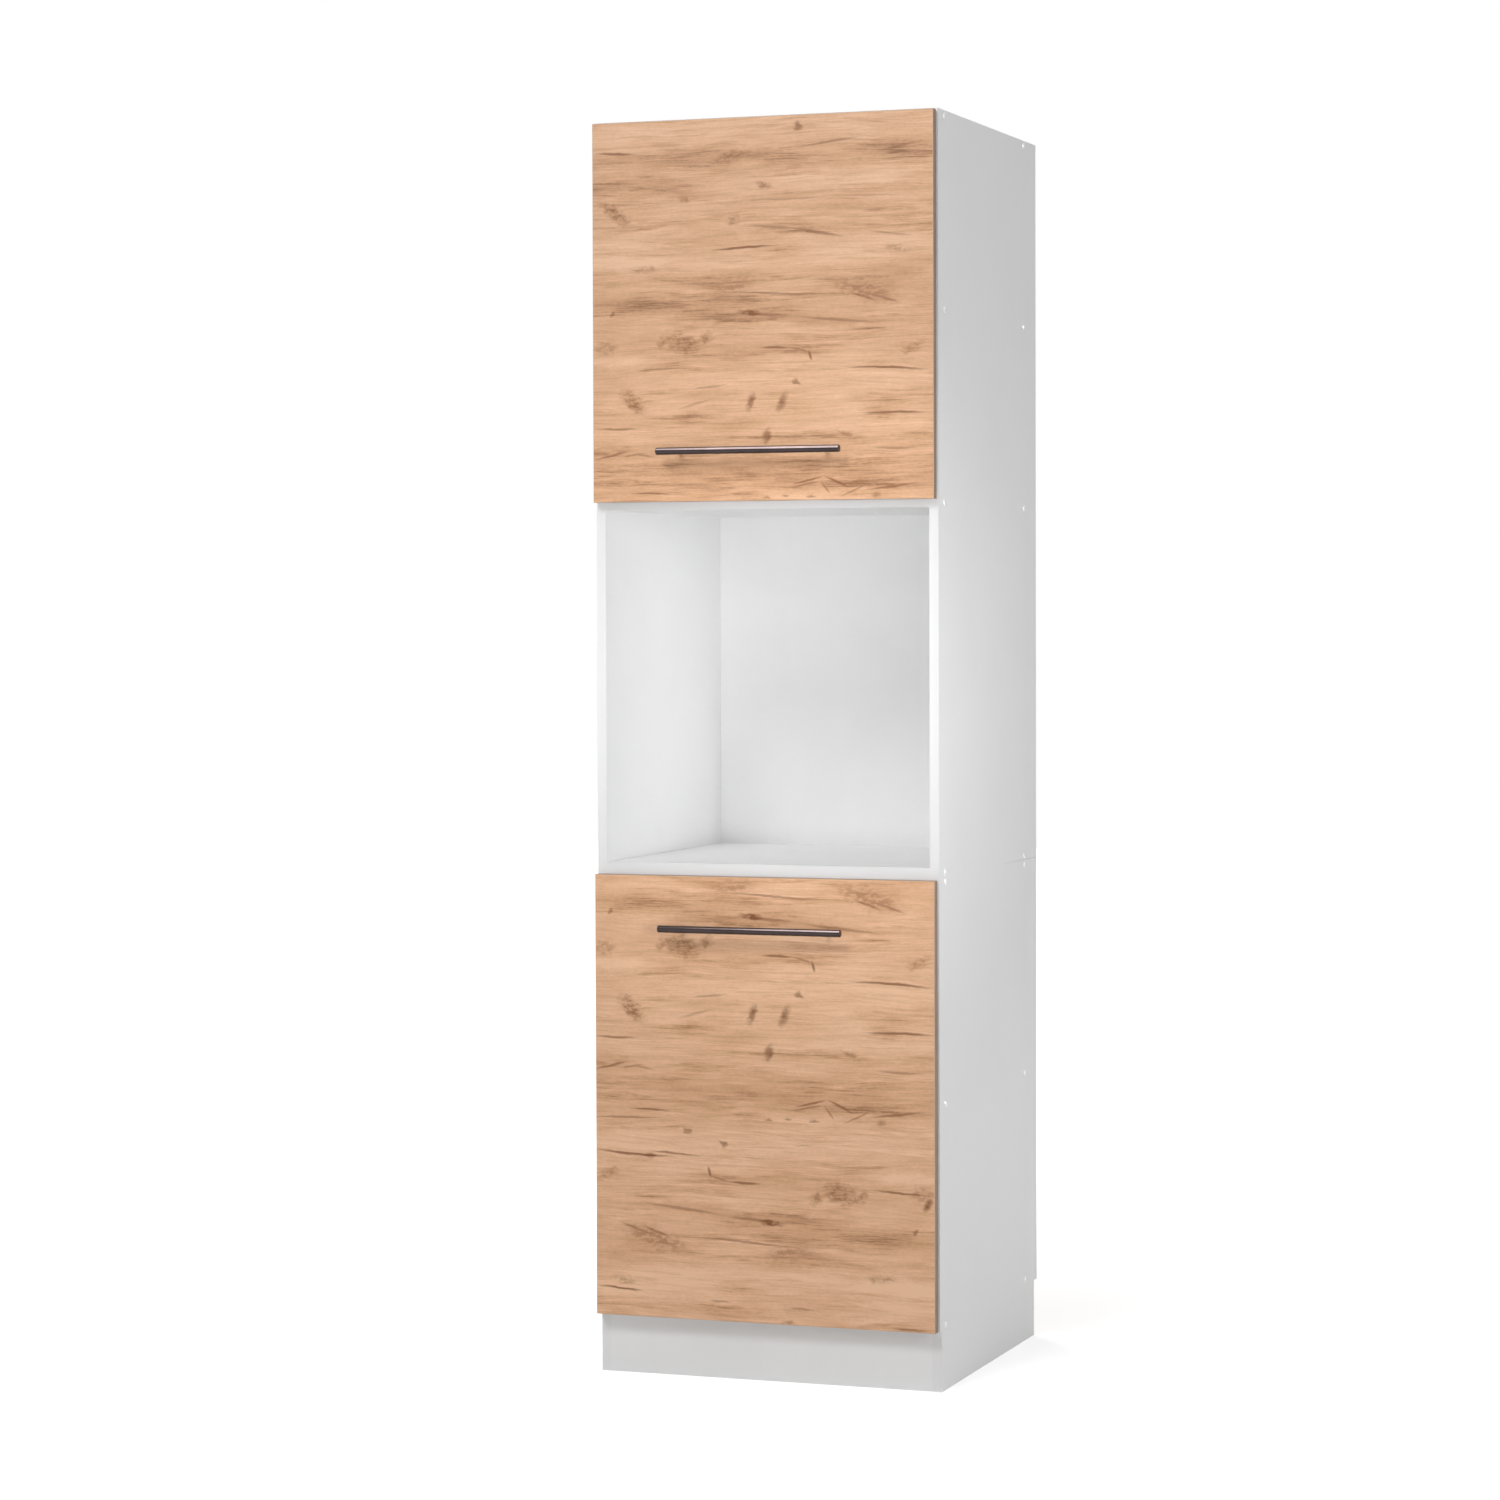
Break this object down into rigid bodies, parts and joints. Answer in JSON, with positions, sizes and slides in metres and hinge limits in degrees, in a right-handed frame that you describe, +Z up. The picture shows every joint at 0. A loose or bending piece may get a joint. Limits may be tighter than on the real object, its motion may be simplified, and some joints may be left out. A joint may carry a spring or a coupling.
{
  "type": "tall oven housing cabinet",
  "caption": "Tall kitchen oven housing: white carcass with an open oven niche between an upper and a lower side-hung oak-look door, bar handles and a set-back plinth.",
  "frame": {"origin": "on the floor, at the middle of the unit's width and of its depth over the handles", "axes": "+Z up, +Y towards the wall behind, +X to the right seen from the front"},
  "size_m": [0.6026, 0.636, 2.1],
  "materials": {
    "white_board": "white melamine-faced chipboard, satin",
    "white_back": "white faced hardboard, satin",
    "oak_decor": "oak decor foil on chipboard, grain across, satin",
    "oak_edging": "brown edging strip, matte",
    "dark_metal": "dark brown-grey satin lacquer",
    "hinge_steel": "zinc-plated steel, satin",
    "white_cap": "white moulded plastic, matte",
    "beech": "bare beech",
    "clear_rubber": "soft, translucent"
  },
  "bodies": {
    "carcass": {"dowels": "beech", "hinge_arm_screws": "hinge_steel", "hinge_plate_screws": "hinge_steel", "lower_back_panel": "white_back", "lower_back_screws": "hinge_steel", "lower_bottom_hinge_arm": "hinge_steel", "lower_bottom_hinge_plate": "hinge_steel", "lower_floor": "white_board", "lower_left_caps": "white_cap", "lower_left_connectors": "hinge_steel", "lower_left_side": "white_board", "lower_right_caps": "white_cap", "lower_right_connectors": "hinge_steel", "lower_right_side": "white_board", "lower_shelf": "white_board", "lower_top_hinge_arm": "hinge_steel", "lower_top_hinge_plate": "hinge_steel", "lower_top_panel": "white_board", "module_screws": "hinge_steel", "niche_ceiling": "white_board", "niche_floor": "white_board", "plinth": "white_board", "rear_rail": "white_board", "top_panel": "white_board", "upper_back_panel": "white_back", "upper_back_screws": "hinge_steel", "upper_bottom_hinge_arm": "hinge_steel", "upper_bottom_hinge_plate": "hinge_steel", "upper_left_caps": "white_cap", "upper_left_connectors": "hinge_steel", "upper_left_side": "white_board", "upper_right_caps": "white_cap", "upper_right_connectors": "hinge_steel", "upper_right_side": "white_board", "upper_shelf": "white_board", "upper_top_hinge_arm": "hinge_steel", "upper_top_hinge_plate": "hinge_steel"},
    "upper_door_leaf": {"upper_bottom_hinge_cup": "hinge_steel", "upper_bottom_hinge_pin": "hinge_steel", "upper_cup_screws": "hinge_steel", "upper_door": "oak_decor", "upper_door_bumpers": "clear_rubber", "upper_door_edging": "oak_edging", "upper_handle_bar": "dark_metal", "upper_handle_posts": "dark_metal", "upper_handle_screws": "hinge_steel", "upper_top_hinge_cup": "hinge_steel", "upper_top_hinge_pin": "hinge_steel"},
    "lower_door_leaf": {"lower_bottom_hinge_cup": "hinge_steel", "lower_bottom_hinge_pin": "hinge_steel", "lower_cup_screws": "hinge_steel", "lower_door": "oak_decor", "lower_door_bumpers": "clear_rubber", "lower_door_edging": "oak_edging", "lower_handle_bar": "dark_metal", "lower_handle_posts": "dark_metal", "lower_handle_screws": "hinge_steel", "lower_top_hinge_cup": "hinge_steel", "lower_top_hinge_pin": "hinge_steel"}
  },
  "joints": [
    {"name": "upper_door_hinge", "type": "hinge", "parent": "carcass", "child": "upper_door_leaf", "pos_m": [-0.2905, -0.2762, 1.781], "axis": [0, 0, -1], "range_deg": [0, 95]},
    {"name": "lower_door_hinge", "type": "hinge", "parent": "carcass", "child": "lower_door_leaf", "pos_m": [-0.2905, -0.2762, 0.4715], "axis": [0, 0, -1], "range_deg": [0, 95]}
  ]
}
